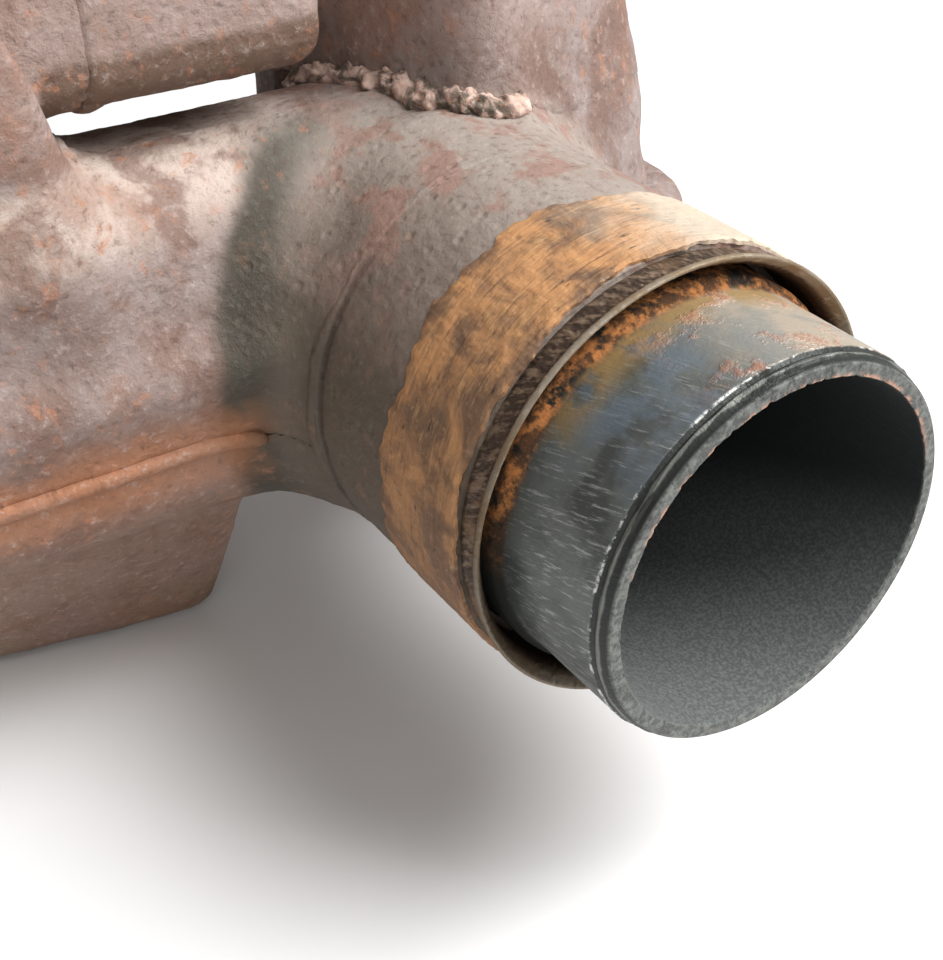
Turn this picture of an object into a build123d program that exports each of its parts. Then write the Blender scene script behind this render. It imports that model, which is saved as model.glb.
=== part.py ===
from build123d import *
import os

# Outlet end of a fabricated exhaust manifold: a 60 mm spigot slides in a 69 mm neck, so the pipe
# steps down concentrically.  X runs along the outlet axis and out of the mouth, Z is up.
# The origin is on that axis, at the front plane of the retainer's flared lip.  Millimetres.

# Outlet
SPIGOT_RADIUS = 30.0
SPIGOT_BORE = 26.8
SPIGOT_REACH = 20.7
MOUTH_BEVEL = 2.85
MOUTH_FACE_RADIUS = 29.1
GUIDE_RADIUS = 31.2
GUIDE_FRONT_X = -2.3
GUIDE_CHAMFER = 1.0
SHOULDER_X = -0.3
SPIGOT_REAR_X = -40.0
NECK_RADIUS = 34.5
NECK_BORE = 31.9
NECK_STOP_RADIUS = 29.0
NECK_STOP_X = -43.4
NECK_FRONT_X = -5.8
SLEEVE_RADIUS = 35.2
SLEEVE_REAR_X = -30.0
RETAINER_RADIUS = 33.6
RETAINER_BORE = 32.6
RETAINER_REAR_X = -12.7
KEEPER_BORE = 31.55
KEEPER_WIDTH = 1.7
LIP_RADIUS = 35.0
LIP_BORE = 34.4
LIP_BEND_X = -2.4
LIP_RIM_X = -1.1
LIP_HOLLOW_X = -2.2
RING_WIDTH = 3.0
RING_RADIUS = NECK_BORE - 0.05
RING_INNER_RADIUS = 29.9
RING_GROOVE_RADIUS = 29.6
RING_GROOVES_X = (-18.0, -31.0)
RING_GAP = 1.0

# Collector
FRONT_X = -59.3
REAR_X = -118.0
LEFT_Y = -105.0
RIGHT_Y = 55.0
CHAMFER_Y = 12.0
CHAMFER_X = -80.0
SEAM_Z = -7.0
TOP_Z = 35.5
FOOT_Z = -65.0
WALL = 4.0
CORNER = 12.0
ROOF_EDGE = 8.0
ROOF_REAR_RADIUS = 26.0
TROUGH_RADIUS = NECK_RADIUS + WALL
LEFT_FOOT_Y = -30.0
LEFT_FOOT = ((-116.0, -97.0), (-89.0, -48.0))
RIGHT_FOOT_Y = 14.0
RIGHT_FOOT = ((-116.0, 22.0), (-89.0, 49.0))
NECK_REAR_X = FRONT_X - WALL - 3.0
PAST_ALL = 400.0

# Head flange
FLANGE_FRONT_X = -140.0
FLANGE_THICKNESS = 10.0
FLANGE_LEFT_Y = -112.0
FLANGE_RIGHT_Y = 61.0
FLANGE_LOW_Z = 24.0
FLANGE_HIGH_Z = 105.0
FLANGE_CORNER = 12.0
BOLT_SPACING_Y = 153.0
BOLT_SPACING_Z = 63.0
BOLT_HOLE = 4.5
GASKET_THICKNESS = 1.5

# Runners: lowest Y, highest Y, lowest Z, highest Z and front X of each outer block
LEFT_RUNNER = (-104.0, -61.0, 42.0, 82.0, -62.0)
MIDDLE_RUNNER = (-61.0, -16.0, 45.5, 84.0, -69.3)
RIGHT_RUNNER = (9.0, 52.0, 42.0, 82.0, -61.0)
RIGHT_PORT = (-8.0, 52.0, 42.0, 82.0, -61.0)
RUNNER_CORNER = 11.0
RUNNER_CHAMFER = 18.0
RUNNER_BEND_X = -110.0
RISER_FOOT_Z = 20.0
BASE_HOLE_REAR = 12.0
BASE_HOLE_SIDE = 7.0
WINDOW_SIDE = 7.0
WINDOW_FRONT = 9.0
WINDOW_TOP = 14.0

# Weld beads
BEAD = 3.0
ROOT_BEAD = 4.0
PORT_INSET = 3.0
PORT_CORNER = 8.0

FLANGE_REAR_X = FLANGE_FRONT_X - FLANGE_THICKNESS
FLANGE_MID_Y = (FLANGE_LEFT_Y + FLANGE_RIGHT_Y) / 2
FLANGE_MID_Z = (FLANGE_LOW_Z + FLANGE_HIGH_Z) / 2

ALONG_AXIS = (Align.CENTER, Align.CENTER, Align.MIN)

os.makedirs("parts", exist_ok=True)


def save(name, piece):
    """Labels a finished piece and writes it to its own file."""
    piece.part.label = name
    export_step(piece.part, f"parts/{name}.step")


def box_between(low, high, mode=Mode.ADD):
    """An upright box from its lowest to its highest corner, in the current part."""
    size = [h - l for l, h in zip(low, high)]
    middle = [(h + l) / 2 for l, h in zip(low, high)]
    with Locations(tuple(middle)):
        Box(*size, mode=mode)


def ring(outer, inner, rear_x, front_x):
    """A plain ring about the outlet axis."""
    with BuildPart() as piece:
        with BuildSketch(Plane.YZ.offset(rear_x)):
            Circle(outer)
            Circle(inner, mode=Mode.SUBTRACT)
        extrude(amount=front_x - rear_x)
    return piece


# ---------------------------------------------------------------- outlet

def make_spigot():
    """The reduced tube: bevelled mouth, plain spigot, stepped guide with two ring grooves."""
    with BuildPart() as spigot_tube:
        with BuildSketch(Plane.XZ):
            with BuildLine():
                Polyline(
                    (SPIGOT_REAR_X, SPIGOT_BORE),
                    (SPIGOT_REACH, SPIGOT_BORE),
                    (SPIGOT_REACH, MOUTH_FACE_RADIUS),
                    (SPIGOT_REACH - MOUTH_BEVEL, SPIGOT_RADIUS),
                    (SHOULDER_X, SPIGOT_RADIUS),
                    (GUIDE_FRONT_X, GUIDE_RADIUS),
                    (SPIGOT_REAR_X + GUIDE_CHAMFER, GUIDE_RADIUS),
                    (SPIGOT_REAR_X, GUIDE_RADIUS - GUIDE_CHAMFER),
                    close=True,
                )
            make_face()
        revolve(axis=Axis.X)
        for groove_x in RING_GROOVES_X:
            with BuildSketch(Plane.YZ.offset(groove_x)):
                Circle(NECK_BORE)
                Circle(RING_GROOVE_RADIUS, mode=Mode.SUBTRACT)
            extrude(amount=RING_WIDTH, mode=Mode.SUBTRACT)
    save("spigot_tube", spigot_tube)


def make_seal_ring(name, groove_x):
    """A split sealing ring that sits in a spigot groove and runs in the neck bore."""
    with BuildPart() as seal_ring:
        with BuildSketch(Plane.YZ.offset(groove_x)):
            Circle(RING_RADIUS)
            Circle(RING_INNER_RADIUS, mode=Mode.SUBTRACT)
            with Locations((0, -GUIDE_RADIUS)):
                Rectangle(RING_GAP, 2 * RING_WIDTH, mode=Mode.SUBTRACT)
        extrude(amount=RING_WIDTH)
    save(name, seal_ring)


def make_retainer():
    """Pressed ring in the neck's mouth: flared lip outside, inward lip that keeps the rings in."""
    with BuildPart() as retainer_ring:
        with BuildSketch(Plane.XZ):
            with BuildLine():
                Polyline(
                    (RETAINER_REAR_X, RETAINER_RADIUS),
                    (LIP_BEND_X, RETAINER_RADIUS),
                    (LIP_RIM_X, LIP_RADIUS),
                    (0, LIP_RADIUS),
                    (0, LIP_BORE),
                    (LIP_HOLLOW_X, RETAINER_BORE),
                    (RETAINER_REAR_X + KEEPER_WIDTH, RETAINER_BORE),
                    (RETAINER_REAR_X + KEEPER_WIDTH, KEEPER_BORE),
                    (RETAINER_REAR_X, KEEPER_BORE),
                    close=True,
                )
            make_face()
        revolve(axis=Axis.X)
    save("retainer_ring", retainer_ring)


def make_neck():
    """The neck pipe: seat for the retainer, sliding bore, and an inner step that stops the spigot."""
    with BuildPart() as neck_pipe:
        with BuildSketch(Plane.XZ):
            with BuildLine():
                Polyline(
                    (NECK_FRONT_X, RETAINER_RADIUS),
                    (NECK_FRONT_X, NECK_RADIUS),
                    (NECK_REAR_X, NECK_RADIUS),
                    (NECK_REAR_X, NECK_STOP_RADIUS),
                    (NECK_STOP_X, NECK_STOP_RADIUS),
                    (NECK_STOP_X, NECK_BORE),
                    (RETAINER_REAR_X, NECK_BORE),
                    (RETAINER_REAR_X, RETAINER_RADIUS),
                    close=True,
                )
            make_face()
        revolve(axis=Axis.X)
    save("neck_pipe", neck_pipe)


def make_neck_beads():
    """The bead round the neck's root, and the thin band shrunk over the neck's front end."""
    with BuildPart() as neck_root_weld:
        with BuildSketch(Plane.XZ):
            with BuildLine():
                Polyline(
                    (FRONT_X, NECK_RADIUS),
                    (FRONT_X + ROOT_BEAD, NECK_RADIUS),
                    (FRONT_X, NECK_RADIUS + ROOT_BEAD),
                    close=True,
                )
            make_face()
        revolve(axis=Axis.X)
        low = (FRONT_X, -PAST_ALL, TOP_Z - ROOF_EDGE)
        box_between(low, (0, PAST_ALL, PAST_ALL), Mode.SUBTRACT)
    save("neck_root_weld", neck_root_weld)
    save("neck_sleeve", ring(SLEEVE_RADIUS, NECK_RADIUS, SLEEVE_REAR_X, NECK_FRONT_X))


# ---------------------------------------------------------------- collector shells

def outline(z, corners, radius=0.0):
    """A flat closed outline at height z, from its plan corners, with rounded corners."""
    with BuildSketch(Plane.XY.offset(z)) as plan:
        with BuildLine():
            Polyline(*corners, close=True)
        make_face()
        if radius:
            fillet(plan.vertices(), radius)
    return plan.sketch


def front_wall_x(y, inset=0.0):
    """X of the collector's front wall at a given Y; right of the neck it slants back."""
    slope = (CHAMFER_X - FRONT_X) / (RIGHT_Y - CHAMFER_Y)
    return FRONT_X - inset + slope * max(y - CHAMFER_Y, 0)


def collector_corners(inset, low_y=LEFT_Y, high_y=RIGHT_Y):
    """Plan corners of the collector, its right front corner cut away."""
    low_y = max(low_y, LEFT_Y + inset)
    high_y = min(high_y, RIGHT_Y - inset)
    return [
        (front_wall_x(low_y, inset), low_y),
        (front_wall_x(CHAMFER_Y, inset), CHAMFER_Y),
        (front_wall_x(high_y, inset), high_y),
        (REAR_X + inset, high_y),
        (REAR_X + inset, low_y),
    ]


def neck_hole(radius):
    """Cuts the way for the neck through the front of the current part."""
    with Locations(Plane.YZ.offset(NECK_REAR_X)):
        Cylinder(radius, -NECK_REAR_X, align=ALONG_AXIS, mode=Mode.SUBTRACT)


def collector_side(inset):
    """Side profile of the collector above its seam: small radius in front, tube-like behind."""
    front_x = FRONT_X - inset
    rear_x = REAR_X + inset
    high_z = TOP_Z - inset
    edge = ROOF_EDGE - inset
    rear = ROOF_REAR_RADIUS - inset
    with BuildSketch(Plane.XZ) as side:
        with BuildLine():
            Line((rear_x, high_z - rear), (rear_x, SEAM_Z))
            Line((rear_x, SEAM_Z), (front_x, SEAM_Z))
            Line((front_x, SEAM_Z), (front_x, high_z - edge))
            CenterArc((front_x - edge, high_z - edge), edge, 0, 90)
            Line((front_x - edge, high_z), (rear_x + rear, high_z))
            CenterArc((rear_x + rear, high_z - rear), rear, 90, 90)
        make_face()
    return side.sketch


def collector_block(inset):
    """The collector above its seam as one solid."""
    with BuildPart() as block:
        plan = outline(SEAM_Z, collector_corners(inset), CORNER - inset)
        extrude(plan, amount=TOP_Z - SEAM_Z - inset)
        extrude(collector_side(inset), amount=PAST_ALL, both=True, mode=Mode.INTERSECT)
    return block.part


def make_upper_shell():
    """Upper pressing: the collector's roof and walls above the seam."""
    with BuildPart() as upper_shell:
        add(collector_block(0))
        add(collector_block(WALL), mode=Mode.SUBTRACT)
        runner_base_hole(LEFT_RUNNER)
        runner_base_hole(RIGHT_RUNNER)
        neck_hole(NECK_RADIUS)
    save("upper_shell", upper_shell)


def foot(top_low_y, top_high_y, bottom_low, bottom_high, inset, mode):
    """A foot of the lower pressing (or its hollow), tapering from the seam to a flat underside."""
    low_y = top_low_y + inset
    high_y = top_high_y - inset
    top = [
        (front_wall_x(low_y, inset), low_y),
        (front_wall_x(high_y, inset), high_y),
        (REAR_X + inset, high_y),
        (REAR_X + inset, low_y),
    ]
    bottom = [
        (bottom_high[0] - inset, bottom_low[1] + inset),
        (bottom_high[0] - inset, bottom_high[1] - inset),
        (bottom_low[0] + inset, bottom_high[1] - inset),
        (bottom_low[0] + inset, bottom_low[1] + inset),
    ]
    radius = CORNER - inset
    top_face = outline(SEAM_Z, top, radius).face()
    bottom_face = outline(FOOT_Z + inset, bottom, radius).face()
    loft([top_face, bottom_face], mode=mode)


def make_lower_shell():
    """Lower pressing: a trough under the neck between two feet that the assembly stands on."""
    hollow_length = abs(REAR_X + WALL)
    with BuildPart() as lower_shell:
        extrude(outline(SEAM_Z, collector_corners(0), CORNER), amount=-TROUGH_RADIUS)
        with Locations(Plane.YZ):
            Cylinder(TROUGH_RADIUS, PAST_ALL, mode=Mode.INTERSECT)
        for inset, mode in ((0, Mode.ADD), (WALL, Mode.SUBTRACT)):
            foot(LEFT_Y, LEFT_FOOT_Y, *LEFT_FOOT, inset, mode)
            foot(RIGHT_FOOT_Y, RIGHT_Y, *RIGHT_FOOT, inset, mode)
        with Locations(Plane.YZ.offset(REAR_X + WALL)):
            Cylinder(NECK_RADIUS, hollow_length, align=ALONG_AXIS, mode=Mode.SUBTRACT)
    save("lower_shell", lower_shell)


def make_seam_weld():
    """The bead that joins the two pressings, all round the outside of the seam."""
    with BuildPart() as shell_seam_weld:
        low_z = SEAM_Z - BEAD / 2
        extrude(outline(low_z, collector_corners(-BEAD), CORNER), amount=BEAD)
        extrude(outline(low_z, collector_corners(0), CORNER), amount=BEAD, mode=Mode.SUBTRACT)
        neck_hole(NECK_RADIUS + ROOT_BEAD)
    save("shell_seam_weld", shell_seam_weld)


# ---------------------------------------------------------------- runners

def runner_base_hole(runner):
    """The opening between the collector and an upright runner above it."""
    low_y, high_y, low_z, _, front_x = runner
    low = (REAR_X + BASE_HOLE_REAR, low_y + BASE_HOLE_SIDE, RISER_FOOT_Z - BEAD)
    high = (front_x - RISER_FOOT_Z, high_y - BASE_HOLE_SIDE, low_z + 2 * WALL)
    box_between(low, high, Mode.SUBTRACT)


def left_runner_corners(inset, rear_x):
    """Plan corners of the left runner, back to a given X."""
    low_y, high_y, _, _, front_x = LEFT_RUNNER
    return [
        (front_x - inset, low_y + inset),
        (front_x - inset, high_y - inset),
        (rear_x, high_y - inset),
        (rear_x, low_y + inset),
    ]


def right_runner_corners(inset, rear_x):
    """Plan corners of the right runner: slanted front wall, inner side bent towards the neck."""
    low_y, high_y, _, _, front_x = RIGHT_RUNNER
    return [
        (front_x - inset, low_y + inset),
        (front_x - RUNNER_CHAMFER - inset, high_y - inset),
        (rear_x, high_y - inset),
        (rear_x, RIGHT_PORT[0] + inset),
        (RUNNER_BEND_X, RIGHT_PORT[0] + inset),
    ]


def runner_core(corners, low_z, high_z, inset):
    """An upright runner as one solid: a riser off the collector and a duct back to the flange."""
    top_z = high_z - inset
    with BuildPart() as core:
        riser = outline(RISER_FOOT_Z + inset, corners(inset, REAR_X + inset))
        extrude(riser, amount=top_z - RISER_FOOT_Z - inset)
        footprint = outline(RISER_FOOT_Z, collector_corners(inset), CORNER - inset)
        extrude(footprint, amount=top_z - RISER_FOOT_Z, mode=Mode.INTERSECT)
        duct = outline(low_z + inset, corners(inset, FLANGE_FRONT_X))
        extrude(duct, amount=top_z - low_z - inset)
        if inset == 0:
            top = core.faces().sort_by(Axis.Z)[-1]
            fillet(top.edges().sort_by(Axis.X)[1:], RUNNER_CORNER)
        add(collector_block(0), mode=Mode.SUBTRACT)
    return core.part


def make_upright_runner(name, corners, runner, side_window):
    """An upright runner with rounded top edges, cut to stand on the collector's roof."""
    _, _, low_z, high_z, _ = runner
    with BuildPart() as runner_shell:
        add(runner_core(corners, low_z, high_z, 0))
        add(runner_core(corners, low_z, high_z, WALL), mode=Mode.SUBTRACT)
        neck_hole(NECK_RADIUS)
        if side_window:
            box_between(*side_window, Mode.SUBTRACT)
    save(name, runner_shell)


def middle_runner_window():
    """The opening in the left runner's side where the middle runner flows in."""
    side_y = LEFT_RUNNER[1]
    low = (REAR_X, side_y - 2 * WALL, MIDDLE_RUNNER[2] + WINDOW_SIDE)
    high = (MIDDLE_RUNNER[4] - WINDOW_FRONT, side_y + WALL, LEFT_RUNNER[3] - WINDOW_TOP)
    return low, high


def make_middle_runner():
    """Middle runner: an elbow lying above the collector's roof, with a rounded closed end."""
    low_y, high_y, low_z, high_z, front_x = MIDDLE_RUNNER
    with BuildPart() as middle_runner:
        box_between((FLANGE_FRONT_X, low_y, low_z), (front_x, high_y, high_z))
        along = middle_runner.edges().filter_by(Axis.X).group_by(Axis.Y)[-1]
        upright = middle_runner.edges().filter_by(Axis.Z).group_by(Axis.X)[-1].sort_by(Axis.Y)[-1:]
        fillet(along + upright, RUNNER_CORNER)
        low = (FLANGE_FRONT_X, low_y, low_z + WALL)
        high = (front_x - WALL, high_y - WALL, high_z - WALL)
        box_between(low, high, Mode.SUBTRACT)
        box_between((FLANGE_FRONT_X, low_y, low_z), (REAR_X, low_y + WALL, high_z))
    save("middle_runner", middle_runner)


def right_bead_line():
    """Ends, in plan, of the bead along the right runner's bent inner side."""
    front_y = RIGHT_RUNNER[0]
    front_x = RIGHT_RUNNER[4]
    slope = (front_y - RIGHT_PORT[0]) / (front_x - RUNNER_BEND_X)
    bead_front_x = FRONT_X - 10
    front = (bead_front_x, front_y - slope * (front_x - bead_front_x) - BEAD)
    rear = (RUNNER_BEND_X, RIGHT_PORT[0] - BEAD)
    return front, rear


def make_base_weld(name, front, rear):
    """The bead along an upright runner's inner side, laid on the collector's curved roof."""
    strip = [front, rear, (rear[0], rear[1] + BEAD), (front[0], front[1] + BEAD)]
    with BuildPart() as base_weld:
        extrude(outline(RISER_FOOT_Z, strip), amount=2 * TOP_Z)
        add(collector_block(-BEAD), mode=Mode.INTERSECT)
        add(collector_block(0), mode=Mode.SUBTRACT)
    save(name, base_weld)


def make_joint_weld():
    """The bead where the middle runner's front runs into the left runner's side."""
    low_y, high_y, low_z, high_z, front_x = MIDDLE_RUNNER
    with BuildPart() as middle_joint_weld:
        with BuildSketch(Plane.XY.offset(low_z)):
            with BuildLine():
                Polyline((front_x, low_y), (front_x + BEAD, low_y), (front_x, low_y + BEAD), close=True)
            make_face()
        extrude(amount=LEFT_RUNNER[3] - RUNNER_CORNER - low_z)
    save("middle_joint_weld", middle_joint_weld)


# ---------------------------------------------------------------- head flange

def port_corners(runner):
    """Centre and size, in Y and Z, of the flange port behind a runner."""
    low_y, high_y, low_z, high_z, _ = runner
    centre = ((low_y + high_y) / 2, (low_z + high_z) / 2)
    size = (high_y - low_y - 2 * (WALL + PORT_INSET), high_z - low_z - 2 * (WALL + PORT_INSET))
    return centre, size


def flange_plate(name, rear_x, thickness, bolt_hole):
    """The rounded plate with three ports and eight bolt holes; flange and gasket share it."""
    with BuildPart() as plate:
        with BuildSketch(Plane.YZ.offset(rear_x)):
            with Locations((FLANGE_MID_Y, FLANGE_MID_Z)):
                RectangleRounded(
                    FLANGE_RIGHT_Y - FLANGE_LEFT_Y, FLANGE_HIGH_Z - FLANGE_LOW_Z, FLANGE_CORNER
                )
            for runner in (LEFT_RUNNER, MIDDLE_RUNNER, RIGHT_PORT):
                centre, size = port_corners(runner)
                with Locations(centre):
                    RectangleRounded(*size, PORT_CORNER, mode=Mode.SUBTRACT)
            with Locations((FLANGE_MID_Y, FLANGE_MID_Z)):
                with GridLocations(BOLT_SPACING_Y / 3, BOLT_SPACING_Z, 4, 2):
                    Circle(bolt_hole, mode=Mode.SUBTRACT)
        extrude(amount=thickness)
    save(name, plate)


def make_port_weld(name, runner, skip_low_y=0.0, skip_high_y=0.0):
    """The bead round a runner on the flange's front face, with none between two Y values."""
    low_y, high_y, low_z, high_z, _ = runner
    centre = ((low_y + high_y) / 2, (low_z + high_z) / 2)
    size = (high_y - low_y, high_z - low_z)
    with BuildPart() as port_weld:
        with BuildSketch(Plane.YZ.offset(FLANGE_FRONT_X)):
            with Locations(centre):
                Rectangle(size[0] + 2 * BEAD, size[1] + 2 * BEAD)
                Rectangle(*size, mode=Mode.SUBTRACT)
        extrude(amount=BEAD)
        if skip_low_y < skip_high_y:
            low = (FLANGE_FRONT_X, skip_low_y, 0)
            box_between(low, (FLANGE_FRONT_X + BEAD, skip_high_y, PAST_ALL), Mode.SUBTRACT)
    save(name, port_weld)


make_spigot()
make_seal_ring("seal_ring_front", RING_GROOVES_X[0])
make_seal_ring("seal_ring_rear", RING_GROOVES_X[1])
make_retainer()
make_neck()
make_neck_beads()
make_upper_shell()
make_lower_shell()
make_seam_weld()
make_upright_runner("left_runner", left_runner_corners, LEFT_RUNNER, middle_runner_window())
make_middle_runner()
make_upright_runner("right_runner", right_runner_corners, RIGHT_RUNNER, None)
make_base_weld("left_base_weld", (FRONT_X - 10, LEFT_RUNNER[1]), (REAR_X + 6, LEFT_RUNNER[1]))
make_base_weld("right_base_weld", *right_bead_line())
make_joint_weld()
flange_plate("head_flange", FLANGE_REAR_X, FLANGE_THICKNESS, BOLT_HOLE)
flange_plate("head_gasket", FLANGE_REAR_X - GASKET_THICKNESS, GASKET_THICKNESS, BOLT_HOLE)
make_port_weld("left_port_weld", LEFT_RUNNER, LEFT_RUNNER[1], MIDDLE_RUNNER[1])
make_port_weld("middle_port_weld", MIDDLE_RUNNER, LEFT_RUNNER[0], MIDDLE_RUNNER[0])
make_port_weld("right_port_weld", RIGHT_PORT)
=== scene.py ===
"""Looks of a rusted exhaust collector whose neck steps down concentrically to a scuffed steel spigot."""
import math

import bpy
import numpy as np
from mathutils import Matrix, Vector


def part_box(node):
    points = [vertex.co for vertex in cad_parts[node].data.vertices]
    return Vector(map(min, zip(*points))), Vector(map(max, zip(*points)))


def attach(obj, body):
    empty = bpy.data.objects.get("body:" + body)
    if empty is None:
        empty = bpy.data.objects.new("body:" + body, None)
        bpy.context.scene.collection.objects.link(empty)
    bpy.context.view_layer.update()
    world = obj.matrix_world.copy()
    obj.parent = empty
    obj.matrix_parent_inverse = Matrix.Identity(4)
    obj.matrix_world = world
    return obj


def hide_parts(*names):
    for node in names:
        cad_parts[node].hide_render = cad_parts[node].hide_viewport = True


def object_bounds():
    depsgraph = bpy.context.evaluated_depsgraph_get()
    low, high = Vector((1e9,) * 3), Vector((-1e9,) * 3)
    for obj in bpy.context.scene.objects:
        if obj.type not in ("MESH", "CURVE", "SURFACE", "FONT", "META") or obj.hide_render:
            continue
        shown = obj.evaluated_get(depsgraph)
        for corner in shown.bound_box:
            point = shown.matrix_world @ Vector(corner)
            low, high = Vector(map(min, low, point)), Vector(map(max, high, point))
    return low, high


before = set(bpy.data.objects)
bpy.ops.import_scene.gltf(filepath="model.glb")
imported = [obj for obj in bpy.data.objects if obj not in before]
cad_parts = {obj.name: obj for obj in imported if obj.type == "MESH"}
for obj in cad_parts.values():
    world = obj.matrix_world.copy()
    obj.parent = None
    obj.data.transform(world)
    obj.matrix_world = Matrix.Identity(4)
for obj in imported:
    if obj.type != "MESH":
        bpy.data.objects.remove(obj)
cad_low, cad_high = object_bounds()

MM = 0.001

# ------------------------------------------------------------------ sizes read from the frame, in millimetres


def node_box(name):
    """Lowest and highest corner of a CAD node, in millimetres."""
    low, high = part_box(name)
    return np.array(low) / MM, np.array(high) / MM


spigot_low, spigot_high = node_box("spigot_tube")
_, neck_high = node_box("neck_pipe")
sleeve_low, sleeve_high = node_box("neck_sleeve")
seam_low, seam_high = node_box("shell_seam_weld")
upper_low, upper_high = node_box("upper_shell")
lower_low, _ = node_box("lower_shell")
left_low, left_high = node_box("left_runner")
middle_low, middle_high = node_box("middle_runner")
right_low, right_high = node_box("right_runner")
_, flange_high = node_box("head_flange")

# Free modelling stays this far inside the CAD's box, so that roughening cannot pass it.
ROUGHNESS_ROOM = 0.3
MOUTH_ROOM = 0.03
FAR = 1e3

MOUTH_X = spigot_high[0] - MOUTH_ROOM
SPIGOT_REAR = spigot_low[0]
GUIDE_R = spigot_high[1]
SPIGOT_R = 30.0
BORE_R = 26.8
GROOVE_R = 29.6
BEVEL_END_X = MOUTH_X - 2.85
BEVEL_RIDGE_X = MOUTH_X - 1.65
NECK_R = neck_high[1]
NECK_BORE = 31.9
NECK_COUNTERBORE = 33.6
NECK_STOP_R = 29.0
NECK_STOP_X = -43.4
RETAINER_REAR = -12.7
NECK_FRONT = neck_high[0]
SLEEVE_R = sleeve_high[1]
SLEEVE_REAR = sleeve_low[0]
FRONT_X = upper_high[0]
REAR_X = upper_low[0]
LEFT_Y = upper_low[1]
RIGHT_Y = upper_high[1]
SEAM_Z = upper_low[2]
ROOF_Z = upper_high[2]
FOOT_Z = lower_low[2] + ROUGHNESS_ROOM
PORT_X = left_low[0]
WALL = 4.0
TUCK = 1.4
RUNNER_FOOT = 24.0
SLEEVE_EDGE = SLEEVE_REAR + 4.5
COLLAR_X = FRONT_X + 14.5
SEAM_CLIMB = 9.0
SEAM_REAR = seam_low[0] - 2.5
REAR_ROUND = 40.0
CRUST_X = (-100, -48)
CRUST_Y = (-19.5, 15)
CRUST_TOP = 43.5

# ------------------------------------------------------------------ distance fields of the housing


def smooth_min(a, b, k):
    """The lower of two fields, rounded where they meet over a width k."""
    h = np.clip(0.5 + 0.5 * (b - a) / k, 0, 1)
    return b * (1 - h) + a * h - k * h * (1 - h)


def smooth_max(a, b, k):
    """The higher of two fields, rounded where they meet over a width k."""
    return -smooth_min(-a, -b, k)


def smooth_step(low, high, value):
    """0 below low, 1 above high, eased between."""
    t = np.clip((value - low) / (high - low), 0, 1)
    return t * t * (3 - 2 * t)


def between(value, low, high):
    """Signed distance to a slab."""
    return np.maximum(low - value, value - high)


def rounded_box(x, y, z, low, high, radius):
    """Signed distance to a box with rounded edges, from its corners."""
    inside = -FAR
    outside = 0
    for value, lo, hi in zip((x, y, z), low, high):
        edge = np.abs(value - (lo + hi) / 2) - (hi - lo) / 2 + radius
        inside = np.maximum(inside, edge)
        outside = outside + np.maximum(edge, 0) ** 2
    return np.minimum(inside, 0) + np.sqrt(outside) - radius


def wall_through(x, y, start, end):
    """Signed distance, in plan, to the wall from start to end; outside is to its right hand."""
    dx = end[0] - start[0]
    dy = end[1] - start[1]
    length = math.hypot(dx, dy)
    return ((x - start[0]) * dy - (y - start[1]) * dx) / length


def tapered_foot(x, y, z, top, bottom, slant=0.0):
    """A foot whose plan narrows from the seam to the floor; top and bottom are (lowX, highX, lowY, highY).
    A slant turns its front, near the floor, back towards its low-Y end."""
    drop = np.clip((SEAM_Z - z) / (SEAM_Z - FOOT_Z), -0.3, 1)
    taper = np.where(drop > 0, np.abs(drop) ** 1.2, drop)
    sides = [a + (b - a) * taper for a, b in zip(top, bottom)]
    radius = 12 - 3 * np.clip(drop, 0, 1)
    edge_x = np.abs(x - (sides[0] + sides[1]) / 2) - (sides[1] - sides[0]) / 2 + radius
    edge_y = np.abs(y - (sides[2] + sides[3]) / 2) - (sides[3] - sides[2]) / 2 + radius
    corner = np.hypot(np.maximum(edge_x, 0), np.maximum(edge_y, 0))
    plan = corner + np.minimum(np.maximum(edge_x, edge_y), 0) - radius
    turned_front = x - sides[1] + slant * np.clip(drop, 0, 1) * (sides[3] - 6 - y)
    plan = smooth_max(plan, turned_front, 4)
    foot = smooth_max(plan * 0.88, FOOT_Z - z, 4)
    return smooth_max(foot, z - 8, 8)


def collector_field(x, y, z):
    """The collector: a lying log, the neck running out of it over a trough, and its two feet."""
    plan = smooth_max(x - FRONT_X, REAR_X - x, 6)
    plan = smooth_max(plan, wall_through(x, y, (FRONT_X, 12), (FRONT_X - 16, RIGHT_Y)), 10)
    plan = smooth_max(plan, between(y, LEFT_Y, RIGHT_Y), 14)
    round_x = REAR_X + REAR_ROUND
    round_z = ROOF_Z - REAR_ROUND
    behind = np.hypot(x - round_x, z - round_z) - REAR_ROUND
    rear_top = np.where((x < round_x) & (z > round_z), behind, -FAR)
    log = smooth_max(plan, z - ROOF_Z, 24)
    log = smooth_max(log, rear_top, 4)
    log = smooth_max(log, -22 - z, 10)
    neck = smooth_max(np.hypot(y, z) - NECK_R, FRONT_X - 12 - x, 8)
    trough = smooth_max(np.hypot(y, z) - NECK_R - 1.5, z + 2, 6)
    trough = smooth_max(trough, between(x, REAR_X, FRONT_X - 2), 10)
    body = smooth_min(log, neck, 17 - 14 * smooth_step(16, 31, z))
    body = smooth_min(body, trough, 5)
    left_top = (REAR_X, FRONT_X, LEFT_Y, -33)
    left_bottom = (REAR_X + 2, FRONT_X - 27, LEFT_Y + 8, -36)
    right_top = (REAR_X, FRONT_X - 15, 14, RIGHT_Y)
    right_bottom = (REAR_X + 2, FRONT_X - 30, 22, RIGHT_Y - 6)
    left_foot = tapered_foot(x, y, z, left_top, left_bottom, 0.22)
    right_foot = tapered_foot(x, y, z, right_top, right_bottom)
    body = smooth_min(body, left_foot, 9)
    return smooth_min(body, right_foot, 9)


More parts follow.
